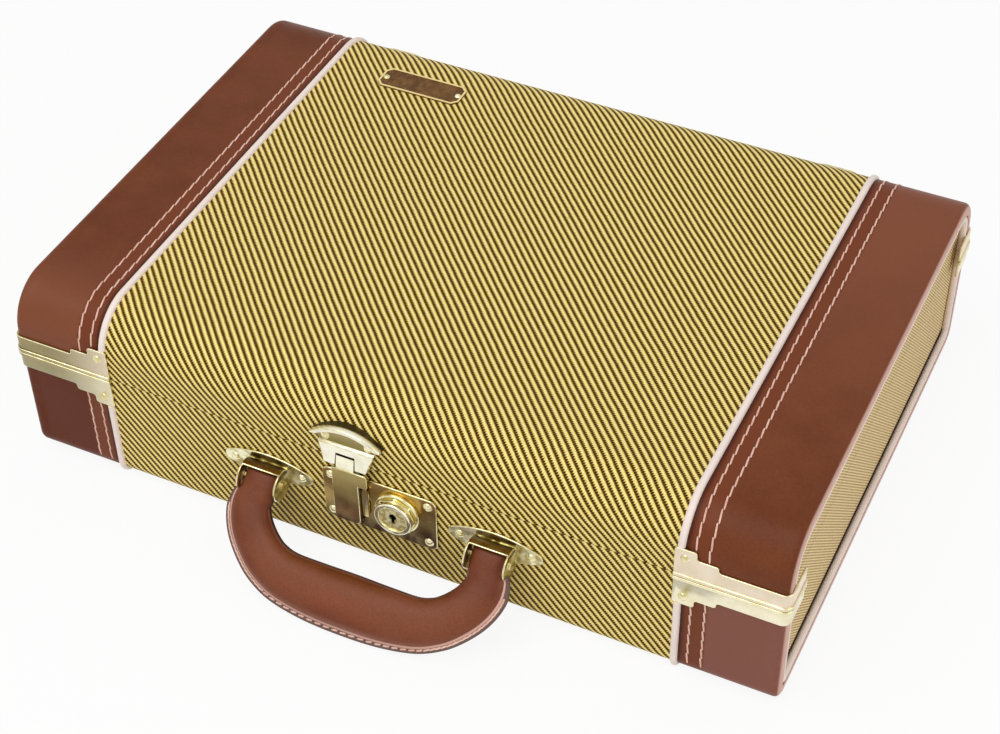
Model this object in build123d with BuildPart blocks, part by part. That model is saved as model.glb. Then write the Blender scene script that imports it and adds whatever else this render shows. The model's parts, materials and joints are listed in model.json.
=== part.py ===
"""A hard case for a set of harmonicas: a rounded plywood box with a hinged lid, covered in striped cloth
with leather ends, brass corner clamps, a key latch and a leather handle.

X runs along the length, the handle side faces -Y and Z is up.
The origin lies under the middle of the case, on the face that it rests on."""

import math
import os

from build123d import *

os.makedirs("parts", exist_ok=True)

# Case
length = 330.0
depth = 226.0
height = 85.0
split_height = 55.0
seam = 0.4
lid_edge_radius = 20.0
base_edge_radius = 8.0
wall = 5.0
cover = 1.2

# Leather ends and the piping round them
band_width = 41.8
piping = 3.0
rim_depth = 3.0
rim_width = 5.0
rim_round = 2.6

# Corner clamps
clamp_sheet = 1.0
clamp_lip = 0.6
clamp_lip_height = 1.6
clamp_past_piping = 2.2
clamp_round = 1.2
clamp_end_leg = 15.5
clamp_tab_width = 8.8
clamp_step_width = 8.5
clamp_narrow = 8.0
clamp_medium = 10.8
clamp_tall = 14.6
clamp_rivet_inset = 4.4
clamp_rivet_rise = 10.2

# Rivets
rivet_head = 4.0
rivet_dome = 1.1
rivet_shank = 2.2
rivet_bite = 4.0
small_rivet_head = 3.0
small_rivet_dome = 0.8
small_rivet_shank = 1.6
small_rivet_bite = 3.0
fit = 0.05

# Hinges at the back
hinge_from_clamp = 4.0
hinge_width = 24.0
hinge_leaf = 1.2
hinge_leaf_up = 19.5
hinge_leaf_down = 17.0
hinge_corner = 7.0
knuckle = 5.2
knuckle_gap = 0.4
knuckle_side_gap = 0.3
hinge_pin = 2.4
hinge_rivet_pitch = 12.0
hinge_rivet_rise = 10.5

# Latch on the middle of the front
latch_x = -12.5
catch_plate = 1.2
catch_foot_width = 18.6
catch_waist_width = 24.0
catch_rim_width = 31.0
catch_waist_rise = 9.3
catch_rim_rise = 12.6
catch_top_rise = 18.6
catch_overhang = 1.6
catch_rim_band = 1.8
catch_rim_lift = 2.2
catch_backing = 4.0
catch_nose = 4.2
catch_nose_top = 2.6
catch_sheet = 0.8
notch_gap = 0.8
catch_rivet_pitch = 18.6
catch_rivet_rise = 11.7

# Lock plate under the latch
lock_plate_width = 49.4
lock_plate_height = 27.0
lock_plate_low = 22.0
lock_plate_sheet = 1.2
lock_plate_corner = 3.0
lock_rivet_side = 3.6
lock_rivet_edge = 3.6
pocket_depth = 3.5
pocket_width = 28.0
pocket_height = 20.0

# Hasp that swings out of the catch
hasp_width = 11.2
hasp_sheet = 0.7
hasp_stand_off = 3.1
hasp_top = 54.6
hasp_corner = 2.4
hasp_shoulder = 4.0
hasp_shoulder_height = 6.8
hasp_tab_sheet = 0.7
hasp_tab_reach = 2.7
tongue_width = 7.6
tongue_rise = 5.8
tongue_sheet = 0.6
hasp_pin = 1.3
hasp_pin_height = 27.2
hasp_pin_stand_off = 1.6
hasp_knuckle = 2.6
hasp_flange_depth = 1.9

# Key lock
lock_x = 8.0
lock_z = 37.2
lock_collar = 19.4
lock_collar_height = 1.7
lock_body = 18.0
lock_body_height = 1.5
lock_ring = 16.0
lock_ring_height = 1.8
lock_neck = 14.0
plug = 11.8
plug_fit = 0.1
plug_recess = 0.7
keyhole_width = 1.5
keyhole_height = 5.2
keyhole_depth = 3.0
cam = 8.6
cam_sheet = 0.8
crank_radius = 1.85
crank_pin = 1.6
crank_pin_length = 1.6
crank_start = -45.0

# Sliding bolt beside the hasp
bolt_offset = 7.1
bolt_width = 2.4
bolt_neck_width = 1.5
bolt_round = 0.9
bolt_low = 30.0
bolt_high = 48.1
bolt_sheet = 1.4
bolt_stud = 2.0
bolt_stud_height = 37.0
bolt_travel = 2.62
yoke_height = 4.4
yoke_sheet = 0.9
yoke_end = 3.0
slide_gap = 0.3

# Handle and its mounts
mount_spacing = 99.0
mount_height = 37.0
mount_length = 47.0
mount_width = 13.4
mount_round = 3.2
mount_sheet = 1.2
mount_rivet_pitch = 30.0
handle_pin_stand_off = 4.6
handle_pin_height = 34.5
handle_pin = 3.0
handle_pin_head = 4.2
handle_pin_head_length = 0.8
cheek_radius = 6.8
cheek_sheet = 0.8
hood_sheet = 0.9
hood_end_angle = 78.0
handle_rest_angle = 45.0
strap_width = 15.0
strap_thickness = 8.0
strap_side_gap = 0.4
grip_width = 21.5
grip_thickness = 14.0
grip_reach = 34.0
handle_bend_radius = 20.0
core_width = 9.0
core_thickness = 2.0
core_start = 7.0

# Name plate on the lid, left bare
name_plate_inset = 43.7
name_plate_y = 79.4
name_plate_length = 40.0
name_plate_width = 13.6
name_plate_corner = 2.6
name_plate_sheet = 0.8
name_plate_field = 0.3
name_plate_border = 0.9
name_plate_rivet_pitch = 35.4

# Inside
lining = 1.5
tray_board_height = 6.0
tray_height = 24.0
rail_width = 6.0
slot_length = 104.0
slot_width = 30.0
slot_rows = 6
lid_pad_height = 9.0
lid_pad_margin = 10.0
lid_pad_round = 3.0

# Derived places
lid_low = split_height + seam / 2
base_high = split_height - seam / 2
front = -depth / 2
back = depth / 2
panel_face = length / 2 - rim_depth
shell_end = panel_face - cover
cavity_end = shell_end - wall
piping_x = length / 2 - band_width
band_start = piping_x + piping / 2
cloth_end = piping_x - piping / 2
clamp_inner = piping_x - clamp_past_piping
clamp_reach = length / 2 - clamp_inner
hinge_spacing = 2 * (clamp_inner - hinge_from_clamp) - hinge_width
name_plate_x = name_plate_inset - cloth_end
latch_face = front - lock_plate_sheet
bolt_x = latch_x + bolt_offset
hinge_y = back + knuckle / 2 + knuckle_gap


def inner_radius(radius, inset):
    """Radius of an outline that lies inset inside a rounded corner."""
    return max(radius - inset, 0.5)


def case_section(inset, low, high):
    """End view of the closed case, inset from its finished surface and kept between two heights."""
    with BuildSketch() as section:
        with Locations((0, height / 2)):
            Rectangle(depth - 2 * inset, height - 2 * inset)
        fillet(section.vertices().group_by(Axis.Y)[0], inner_radius(base_edge_radius, inset))
        fillet(section.vertices().group_by(Axis.Y)[-1], inner_radius(lid_edge_radius, inset))
        with Locations((0, (low + high) / 2)):
            Rectangle(2 * depth, high - low, mode=Mode.INTERSECT)
    return section.sketch


def lid_path(x, inset, low):
    """Line over the lid from front to back, inset from its finished surface."""
    half = depth / 2 - inset
    with BuildLine(Plane.YZ.offset(x)) as path:
        FilletPolyline(
            (-half, low),
            (-half, height - inset),
            (half, height - inset),
            (half, low),
            radius=max(lid_edge_radius - inset, piping),
        )
    return path.wire()


def base_path(x, inset, high):
    """Line under the base from front to back, inset from its finished surface."""
    half = depth / 2 - inset
    with BuildLine(Plane.YZ.offset(x)) as path:
        FilletPolyline(
            (-half, high),
            (-half, inset),
            (half, inset),
            (half, high),
            radius=max(base_edge_radius - inset, piping),
        )
    return path.wire()


def front_plane(stand_off):
    """Plane parallel to the front, stand_off in front of it, with X to the right and Z up."""
    return Plane.XZ.offset(depth / 2 + stand_off)


def front_spot(x, stand_off, z):
    """Place on the front, facing out."""
    return Plane(origin=(x, front - stand_off, z), x_dir=(1, 0, 0), z_dir=(0, -1, 0))


def back_spot(x, stand_off, z):
    """Place on the back, facing out."""
    return Plane(origin=(x, back + stand_off, z), x_dir=(1, 0, 0), z_dir=(0, 1, 0))


def rivet_profile(head, dome, shank, bite):
    """One rivet, with the underside of its head at z = 0."""
    ball = (head * head / 4 + dome * dome) / (2 * dome)
    with BuildPart() as rivet:
        with Locations((0, 0, dome - ball)):
            Sphere(ball)
        with Locations((0, 0, -ball)):
            Box(3 * ball, 3 * ball, 2 * ball, mode=Mode.SUBTRACT)
        Cylinder(shank / 2, bite, align=(Align.CENTER, Align.CENTER, Align.MAX))
    return rivet.part


def hole_profile(shank, bite):
    """Hole for a rivet shank, open at the front."""
    with BuildPart() as hole:
        with Locations((0, 0, -bite - fit)):
            Cylinder(shank / 2 + fit, bite + 2 * rivet_head, align=(Align.CENTER, Align.CENTER, Align.MIN))
    return hole.part


def at_spots(shape, spots):
    """The same shape at each place."""
    with BuildPart() as group:
        for spot in spots:
            add(spot.location * shape)
    return group.part


# Places of the rivets, each under the head
grip_depth = cover + rivet_bite
clamp_rivet_x = clamp_inner + clamp_rivet_inset
clamp_stand_off = clamp_sheet
lid_clamp_spots = []
base_clamp_spots = []
for side in (-1, 1):
    for spot in (front_spot, back_spot):
        lid_clamp_spots.append(spot(side * clamp_rivet_x, clamp_stand_off, lid_low + clamp_rivet_rise))
        base_clamp_spots.append(spot(side * clamp_rivet_x, clamp_stand_off, base_high - clamp_rivet_rise))
lid_hinge_spots = []
base_hinge_spots = []
for side in (-1, 1):
    for offset in (-hinge_rivet_pitch / 2, hinge_rivet_pitch / 2):
        x = side * hinge_spacing / 2 + offset
        lid_hinge_spots.append(back_spot(x, hinge_leaf, split_height + hinge_rivet_rise))
        base_hinge_spots.append(back_spot(x, hinge_leaf, split_height - hinge_rivet_rise))
catch_spots = []
for offset in (-catch_rivet_pitch / 2, catch_rivet_pitch / 2):
    catch_spots.append(front_spot(latch_x + offset, catch_plate, lid_low + catch_rivet_rise))
lock_spots = []
for side in (-1, 1):
    x = side * (lock_plate_width / 2 - lock_rivet_side)
    lock_spots.append(front_spot(x, lock_plate_sheet, lock_plate_low + lock_rivet_edge))
    lock_spots.append(front_spot(x, lock_plate_sheet, lock_plate_low + lock_plate_height - lock_rivet_edge))
mount_spots = []
for side in (-1, 1):
    for offset in (-mount_rivet_pitch / 2, mount_rivet_pitch / 2):
        mount_spots.append(front_spot(side * mount_spacing / 2 + offset, mount_sheet, mount_height))
name_plate_spots = []
for offset in (-name_plate_rivet_pitch / 2, name_plate_rivet_pitch / 2):
    name_plate_spots.append(Plane(origin=(name_plate_x + offset, name_plate_y, height + name_plate_sheet)))


def rivet_length(plate):
    """Shank length through a plate, the cover and into the plywood."""
    return plate + cover + rivet_bite - fit


def rivet_holes(spots, plate):
    """Shank holes under a row of rivet heads."""
    return at_spots(hole_profile(rivet_shank, rivet_length(plate)), spots)


def rivets(spots, plate):
    """A row of rivets."""
    return at_spots(rivet_profile(rivet_head, rivet_dome, rivet_shank, rivet_length(plate)), spots)


small_rivet_length = name_plate_sheet + cover + small_rivet_bite
name_plate_holes = at_spots(hole_profile(small_rivet_shank, small_rivet_length + name_plate_field), name_plate_spots)
lid_clamp_holes = rivet_holes(lid_clamp_spots, clamp_sheet)
base_clamp_holes = rivet_holes(base_clamp_spots, clamp_sheet)
lid_hinge_holes = rivet_holes(lid_hinge_spots, hinge_leaf)
base_hinge_holes = rivet_holes(base_hinge_spots, hinge_leaf)
catch_holes = rivet_holes(catch_spots, catch_plate)
lock_holes = rivet_holes(lock_spots, lock_plate_sheet)
mount_holes = rivet_holes(mount_spots, mount_sheet)

# Plywood lid
with BuildPart() as lid_shell:
    with BuildSketch(Plane.YZ.offset(-shell_end)):
        add(case_section(cover, lid_low, height))
    extrude(amount=2 * shell_end)
    with BuildSketch(Plane.YZ.offset(-cavity_end)):
        add(case_section(cover + wall, lid_low, height))
    extrude(amount=2 * cavity_end, mode=Mode.SUBTRACT)
    for holes in (lid_clamp_holes, lid_hinge_holes, catch_holes, name_plate_holes):
        add(holes, mode=Mode.SUBTRACT)
lid_shell.part.label = "lid_shell"
export_step(lid_shell.part, "parts/lid_shell.step")

# Room for the works of the lock behind its plate, open at the front
pocket_x = (lock_x + bolt_x) / 2
with BuildPart() as lock_pocket:
    with BuildSketch(front_plane(0)):
        with Locations((pocket_x, lock_z)):
            Rectangle(pocket_width, pocket_height)
    extrude(amount=-cover - pocket_depth)

# Plywood base
with BuildPart() as base_shell:
    with BuildSketch(Plane.YZ.offset(-shell_end)):
        add(case_section(cover, 0, base_high))
    extrude(amount=2 * shell_end)
    with BuildSketch(Plane.YZ.offset(-cavity_end)):
        add(case_section(cover + wall, 0, base_high))
    extrude(amount=2 * cavity_end, mode=Mode.SUBTRACT)
    add(lock_pocket.part, mode=Mode.SUBTRACT)
    for holes in (base_clamp_holes, base_hinge_holes, lock_holes, mount_holes):
        add(holes, mode=Mode.SUBTRACT)
base_shell.part.label = "base_shell"
export_step(base_shell.part, "parts/base_shell.step")

# Striped cloth over the middle of the lid
with BuildPart() as lid_cloth:
    with BuildSketch(Plane.YZ.offset(-cloth_end)):
        add(case_section(0, lid_low, height))
        add(case_section(cover, lid_low, height), mode=Mode.SUBTRACT)
    extrude(amount=2 * cloth_end)
    for holes in (lid_hinge_holes, catch_holes, name_plate_holes):
        add(holes, mode=Mode.SUBTRACT)
lid_cloth.part.label = "lid_cloth"
export_step(lid_cloth.part, "parts/lid_cloth.step")

# Striped cloth on the front and back of the base, each turned under the bottom edge
bottom_half = depth / 2 - base_edge_radius
with BuildPart() as base_cloth:
    with BuildSketch(Plane.YZ.offset(-cloth_end)):
        add(case_section(0, 0, base_high))
        add(case_section(cover, 0, base_high), mode=Mode.SUBTRACT)
        Rectangle(2 * bottom_half, 2 * base_high, mode=Mode.SUBTRACT)
    extrude(amount=2 * cloth_end)
    add(lock_pocket.part, mode=Mode.SUBTRACT)
    for holes in (base_hinge_holes, lock_holes, mount_holes):
        add(holes, mode=Mode.SUBTRACT)
base_cloth.part.label = "base_cloth"
export_step(base_cloth.part, "parts/base_cloth.step")

# Striped cloth on the flat of the bottom, the face that the case lies on
with BuildPart() as bottom_cloth:
    with BuildSketch(Plane.XY):
        Rectangle(2 * cloth_end, 2 * bottom_half)
    extrude(amount=cover)
bottom_cloth.part.label = "bottom_cloth"
export_step(bottom_cloth.part, "parts/bottom_cloth.step")

# Leather bands round both ends, each rolled over into a rim that frames the end panel
for name, side in (("left", -1), ("right", 1)):
    for half, path, holes in (
        ("lid", lid_path(0, 0, lid_low), lid_clamp_holes),
        ("base", base_path(0, 0, base_high), base_clamp_holes),
    ):
        start = path.position_at(0)
        inward = (0, 1, 0)
        with BuildPart() as leather:
            with BuildSketch(Plane(origin=start, x_dir=(side, 0, 0), z_dir=path.tangent_at(0))) as band:
                turn = 1 if band.workplanes[0].y_dir.Y > 0 else -1
                with BuildLine():
                    Polyline(
                        (band_start, 0),
                        (length / 2, 0),
                        (length / 2, turn * rim_width),
                        (shell_end, turn * rim_width),
                        (shell_end, turn * cover),
                        (band_start, turn * cover),
                        close=True,
                    )
                make_face()
                fillet(band.vertices().sort_by(Axis.X)[-2:].sort_by_distance((length / 2, 0))[0], rim_round)
            sweep(path=path)
            add(holes, mode=Mode.SUBTRACT)
        leather.part.label = f"{half}_leather_{name}"
        export_step(leather.part, f"parts/{half}_leather_{name}.step")

# Round piping between the cloth and the leather, and round each end panel
for name, side in (("left", -1), ("right", 1)):
    for half, route, cut, trim in (
        ("lid", lid_path, lid_low, clamp_tall),
        ("base", base_path, base_high, -clamp_tall),
    ):
        band_route = route(side * piping_x, 0, cut)
        with BuildPart() as band_piping:
            with BuildSketch(Plane(origin=band_route.position_at(0), z_dir=band_route.tangent_at(0))):
                Circle(piping / 2)
            sweep(path=band_route)
            with BuildSketch(Plane.YZ.offset(-shell_end)):
                add(case_section(cover, 0, height))
            extrude(amount=2 * shell_end, mode=Mode.SUBTRACT)
            with Locations((0, 0, -height / 2)):
                Box(length, 2 * depth, height, mode=Mode.SUBTRACT)
            with Locations((0, 0, cut + trim / 2)):
                Box(length, 2 * depth, clamp_tall + 2 * fit, mode=Mode.SUBTRACT)
        band_piping.part.label = f"{half}_band_piping_{name}"
        export_step(band_piping.part, f"parts/{half}_band_piping_{name}.step")

        end_route = route(side * (panel_face + piping / 2), rim_width + piping / 2, cut)
        with BuildPart() as end_piping:
            with BuildSketch(Plane(origin=end_route.position_at(0), z_dir=end_route.tangent_at(0))):
                Circle(piping / 2)
            sweep(path=end_route)
        end_piping.part.label = f"{half}_end_piping_{name}"
        export_step(end_piping.part, f"parts/{half}_end_piping_{name}.step")

# Striped cloth on the end panels
for name, start in (("left", -panel_face), ("right", shell_end)):
    for half, low, high in (("lid", lid_low, height), ("base", 0, base_high)):
        with BuildPart() as end_cloth:
            with BuildSketch(Plane.YZ.offset(start)):
                add(case_section(rim_width, low, high))
            extrude(amount=cover)
        end_cloth.part.label = f"{half}_end_cloth_{name}"
        export_step(end_cloth.part, f"parts/{half}_end_cloth_{name}.step")


def clamp_plan(thickness, side, face):
    """Seen from above, the sheet round one corner of the case."""
    with BuildSketch() as plan:
        RectangleRounded(length + 2 * thickness, depth + 2 * thickness, rim_round + thickness)
        RectangleRounded(length, depth, rim_round, mode=Mode.SUBTRACT)
        window_x = (clamp_inner + length / 2 + thickness) / 2
        window_y = (depth / 2 - clamp_end_leg + depth / 2 + thickness) / 2
        with Locations((side * window_x, face * window_y)):
            Rectangle(clamp_reach + thickness, clamp_end_leg + thickness, mode=Mode.INTERSECT)
    return plan.sketch


# Corner clamps, a lid half and a base half at each corner
for half, rise, seam_edge, holes in (
    ("lid", 1, lid_low, lid_clamp_holes),
    ("base", -1, base_high, base_clamp_holes),
):
    for face_name, face in (("front", -1), ("back", 1)):
        for name, side in (("left", -1), ("right", 1)):
            with BuildPart() as clamp:
                with BuildSketch(Plane.XY.offset(seam_edge)):
                    add(clamp_plan(clamp_sheet, side, face))
                extrude(amount=rise * clamp_tall)
                tab_end = clamp_inner + clamp_tab_width
                step_end = tab_end + clamp_step_width
                with BuildSketch(Plane.XZ) as steps:
                    with BuildLine():
                        Polyline(
                            (side * clamp_inner, seam_edge),
                            (side * length, seam_edge),
                            (side * length, seam_edge + rise * clamp_narrow),
                            (side * step_end, seam_edge + rise * clamp_narrow),
                            (side * step_end, seam_edge + rise * clamp_medium),
                            (side * tab_end, seam_edge + rise * clamp_medium),
                            (side * tab_end, seam_edge + rise * clamp_tall),
                            (side * clamp_inner, seam_edge + rise * clamp_tall),
                            close=True,
                        )
                    make_face()
                    corners = steps.vertices().filter_by(lambda v: abs(v.X) < length / 2 and v.Y != seam_edge)
                    fillet(corners, clamp_round)
                extrude(amount=depth, both=True, mode=Mode.INTERSECT)
                with BuildSketch(Plane.XY.offset(seam_edge)):
                    add(clamp_plan(clamp_sheet + clamp_lip, side, face))
                extrude(amount=rise * clamp_lip_height)
                add(holes, mode=Mode.SUBTRACT)
            clamp.part.label = f"{half}_clamp_{face_name}_{name}"
            export_step(clamp.part, f"parts/{half}_clamp_{face_name}_{name}.step")

# Hinges: the lid leaf has the outer knuckles, the base leaf the middle one
knuckle_length = hinge_width / 3
for half, rise, reach, holes in (
    ("lid", 1, hinge_leaf_up, lid_hinge_holes),
    ("base", -1, hinge_leaf_down, base_hinge_holes),
):
    with BuildPart() as leaves:
        for hinge_x in (-hinge_spacing / 2, hinge_spacing / 2):
            with BuildSketch(Plane.XZ.offset(-back)) as plate:
                with Locations((hinge_x, split_height + rise * (seam + reach) / 2)):
                    Rectangle(hinge_width, reach - seam)
                far_edge = plate.vertices().sort_by(Axis.Y)
                fillet(far_edge[2:] if rise > 0 else far_edge[:2], hinge_corner)
            extrude(amount=-hinge_leaf)
            with BuildSketch(Plane.YZ.offset(hinge_x)):
                with Locations((hinge_y, split_height)):
                    Circle(knuckle / 2)
            extrude(amount=hinge_width / 2, both=True)
            outer_centres = (hinge_x - knuckle_length, hinge_x + knuckle_length)
            for x in (hinge_x,) if half == "lid" else outer_centres:
                with BuildSketch(Plane.YZ.offset(x)):
                    with Locations((hinge_y, split_height)):
                        Circle(knuckle / 2 + knuckle_side_gap)
                extrude(amount=knuckle_length / 2 + knuckle_side_gap / 2, both=True, mode=Mode.SUBTRACT)
            with BuildSketch(Plane.YZ.offset(hinge_x)):
                with Locations((hinge_y, split_height)):
                    Circle(hinge_pin / 2 + fit)
            extrude(amount=hinge_width, both=True, mode=Mode.SUBTRACT)
        add(holes, mode=Mode.SUBTRACT)
    leaves.part.label = f"{half}_hinge_leaves"
    export_step(leaves.part, f"parts/{half}_hinge_leaves.step")

with BuildPart() as hinge_pins:
    for side in (-1, 1):
        with BuildSketch(Plane.YZ.offset(side * hinge_spacing / 2)):
            with Locations((hinge_y, split_height)):
                Circle(hinge_pin / 2)
        extrude(amount=hinge_width / 2, both=True)
hinge_pins.part.label = "hinge_pins"
export_step(hinge_pins.part, "parts/hinge_pins.step")

# Catch on the lid: a fan with a raised rim above a sloping nose, notched from below for the tongue of the hasp
catch_low = lid_low + seam
notch_top = hasp_top + tongue_rise + notch_gap
waist_z = lid_low + catch_waist_rise
rim_z = lid_low + catch_rim_rise
crest_z = lid_low + catch_top_rise


def fan(crest):
    """Front view of the catch with the crest of its arc at a height."""
    with BuildSketch() as outline:
        with BuildLine():
            Polyline(
                (latch_x - catch_rim_width / 2, rim_z),
                (latch_x - catch_waist_width / 2, waist_z),
                (latch_x - catch_foot_width / 2, catch_low),
                (latch_x + catch_foot_width / 2, catch_low),
                (latch_x + catch_waist_width / 2, waist_z),
                (latch_x + catch_rim_width / 2, rim_z),
            )
            ThreePointArc(
                (latch_x + catch_rim_width / 2, rim_z),
                (latch_x, crest),
                (latch_x - catch_rim_width / 2, rim_z),
            )
        make_face()
    return outline.sketch


with BuildPart() as catch:
    with BuildSketch(front_plane(-catch_backing)):
        add(fan(crest_z - catch_overhang))
    extrude(amount=catch_backing + catch_plate)
    with BuildSketch(front_plane(-catch_backing)) as rim:
        with BuildLine():
            inner_half = catch_rim_width / 2 - 1.6 * catch_rim_band
            ThreePointArc(
                (latch_x - catch_rim_width / 2, rim_z),
                (latch_x, crest_z),
                (latch_x + catch_rim_width / 2, rim_z),
            )
            Line((latch_x + catch_rim_width / 2, rim_z), (latch_x + inner_half, rim_z))
            ThreePointArc(
                (latch_x + inner_half, rim_z),
                (latch_x, crest_z - catch_rim_band),
                (latch_x - inner_half, rim_z),
            )
            Line((latch_x - inner_half, rim_z), (latch_x - catch_rim_width / 2, rim_z))
        make_face()
    extrude(amount=catch_backing + catch_plate + catch_rim_lift)
    with BuildSketch(Plane.YZ.offset(latch_x)):
        add(case_section(0, catch_low, height))
    extrude(amount=catch_rim_width, both=True, mode=Mode.SUBTRACT)
    with BuildSketch(Plane.YZ.offset(latch_x)) as nose:
        with BuildLine():
            Polyline(
                (front - catch_plate, waist_z),
                (front - catch_nose_top, waist_z - catch_sheet / 2),
                (front - catch_nose, catch_low),
                (front - catch_plate, catch_low),
                close=True,
            )
        make_face()
    extrude(amount=catch_waist_width / 2, both=True)
    with BuildSketch(front_plane(-catch_backing)):
        add(fan(crest_z))
    extrude(amount=catch_backing + 2 * catch_nose, mode=Mode.INTERSECT)
    with BuildSketch(Plane.YZ.offset(latch_x)) as hollow:
        with BuildLine():
            Polyline(
                (front - catch_plate, waist_z - 2 * catch_sheet),
                (front - catch_nose_top + catch_sheet, waist_z - 2 * catch_sheet),
                (front - catch_nose + catch_sheet, catch_low),
                (front - catch_plate, catch_low),
                close=True,
            )
        make_face()
    extrude(amount=catch_foot_width / 2 - catch_sheet, both=True, mode=Mode.SUBTRACT)
    with BuildSketch(front_plane(catch_plate)):
        with Locations((latch_x, (catch_low + notch_top) / 2)):
            Rectangle(tongue_width + 2 * slide_gap, notch_top - catch_low)
    extrude(amount=catch_nose, mode=Mode.SUBTRACT)
    add(catch_holes, mode=Mode.SUBTRACT)
catch.part.label = "catch"
export_step(catch.part, "parts/catch.step")

# Plate of the latch and lock, with the lug that carries the hasp and a slot for the stud of the bolt
pin_y = latch_face - hasp_pin_stand_off
hasp_inner_half = hasp_width / 2 - hasp_sheet
with BuildPart() as lock_plate:
    with BuildSketch(front_plane(0)):
        with Locations((0, lock_plate_low + lock_plate_height / 2)):
            RectangleRounded(lock_plate_width, lock_plate_height, lock_plate_corner)
        with Locations((lock_x, lock_z)):
            Circle(lock_neck / 2, mode=Mode.SUBTRACT)
        slot_height = bolt_stud + bolt_travel + 2 * slide_gap
        with Locations((bolt_x, bolt_stud_height + bolt_travel / 2)):
            Rectangle(bolt_stud + 2 * slide_gap, slot_height, mode=Mode.SUBTRACT)
    extrude(amount=lock_plate_sheet)
    with BuildSketch(Plane.YZ.offset(latch_x)) as lug:
        with Locations((pin_y, hasp_pin_height)):
            Circle(hasp_knuckle / 2)
        with Locations(((pin_y + latch_face) / 2, hasp_pin_height)):
            Rectangle(hasp_pin_stand_off, 2 * hasp_pin_stand_off - 2 * slide_gap)
    extrude(amount=hasp_inner_half - slide_gap, both=True)
    with BuildSketch(Plane.YZ.offset(latch_x)):
        with Locations((pin_y, hasp_pin_height)):
            Circle(hasp_pin / 2 + fit)
    extrude(amount=hasp_width, both=True, mode=Mode.SUBTRACT)
    add(lock_holes, mode=Mode.SUBTRACT)
lock_plate.part.label = "lock_plate"
export_step(lock_plate.part, "parts/lock_plate.step")

with BuildPart() as hasp_hinge_pin:
    with BuildSketch(Plane.YZ.offset(latch_x)):
        with Locations((pin_y, hasp_pin_height)):
            Circle(hasp_pin / 2)
    extrude(amount=hasp_width / 2, both=True)
hasp_hinge_pin.part.label = "hasp_hinge_pin"
export_step(hasp_hinge_pin.part, "parts/hasp_hinge_pin.step")

# Hasp: a pressed strap with side flanges, a shoulder for the bolt and a tongue that lies along the nose
hasp_inner = lock_plate_sheet + hasp_stand_off
hasp_outer = hasp_inner + hasp_sheet
hasp_foot = hasp_pin_height - hasp_knuckle / 2 + 2 * fit + slide_gap
tab_z = bolt_high + slide_gap
nose_slope = (catch_nose - catch_nose_top) / (waist_z - catch_sheet / 2 - catch_low)
tongue_lean = nose_slope * tongue_rise
tongue_outer = catch_nose + nose_slope * (catch_low - hasp_top)
with BuildPart() as hasp:
    with BuildSketch(front_plane(hasp_inner)) as strap:
        with BuildLine():
            Polyline(
                (latch_x - hasp_width / 2, hasp_foot),
                (latch_x + hasp_width / 2, hasp_foot),
                (latch_x + hasp_width / 2, hasp_top - hasp_shoulder_height),
                (latch_x + hasp_width / 2 + hasp_shoulder, hasp_top - hasp_shoulder_height),
                (latch_x + hasp_width / 2 + hasp_shoulder, hasp_top),
                (latch_x - hasp_width / 2, hasp_top),
                close=True,
            )
        make_face()
        fillet(strap.vertices().group_by(Axis.Y)[0], hasp_corner)
        fillet(strap.vertices().sort_by(Axis.X)[-2:], hasp_corner / 2)
    extrude(amount=hasp_sheet)
    with BuildSketch(Plane.YZ.offset(latch_x)):
        with BuildLine():
            Polyline(
                (front - hasp_outer, hasp_top - hasp_sheet),
                (front - hasp_outer, hasp_top),
                (front - tongue_outer, hasp_top),
                (front - tongue_outer + tongue_lean, hasp_top + tongue_rise),
                (front - tongue_outer + tongue_lean + tongue_sheet, hasp_top + tongue_rise),
                (front - tongue_outer + tongue_sheet, hasp_top - hasp_sheet),
                close=True,
            )
        make_face()
    extrude(amount=tongue_width / 2, both=True)
    for side in (-1, 1):
        with BuildSketch(Plane.YZ.offset(latch_x + side * (hasp_width - hasp_sheet) / 2)) as flange:
            with Locations((pin_y, hasp_pin_height)):
                Circle(hasp_knuckle / 2)
            with BuildLine():
                Polyline(
                    (pin_y + hasp_knuckle / 2, hasp_pin_height),
                    (front - hasp_inner + hasp_flange_depth, hasp_pin_height + hasp_knuckle),
                    (front - hasp_inner + hasp_flange_depth, tab_z - hasp_corner),
                    (front - hasp_inner, tab_z - slide_gap),
                    (front - hasp_inner, hasp_foot + hasp_corner / 2),
                    (pin_y, hasp_foot + hasp_corner / 4),
                    close=True,
                )
            make_face()
        extrude(amount=hasp_sheet / 2, both=True)
    with BuildSketch(Plane.YZ.offset(latch_x)):
        with Locations((pin_y, hasp_pin_height)):
            Circle(hasp_pin / 2 + fit)
    extrude(amount=hasp_width, both=True, mode=Mode.SUBTRACT)
    with BuildSketch(Plane.XY.offset(tab_z)):
        tab_x = latch_x + hasp_width / 2 + hasp_shoulder / 2
        with Locations((tab_x, front - hasp_inner + hasp_tab_reach / 2)):
            Rectangle(hasp_shoulder, hasp_tab_reach)
        with Locations((bolt_x, latch_face - slide_gap - 0.75 * bolt_sheet)):
            Rectangle(bolt_neck_width + 2 * slide_gap, bolt_sheet / 2 + 2 * slide_gap, mode=Mode.SUBTRACT)
    extrude(amount=hasp_tab_sheet)
hasp.part.label = "hasp"
export_step(hasp.part, "parts/hasp.step")

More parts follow.
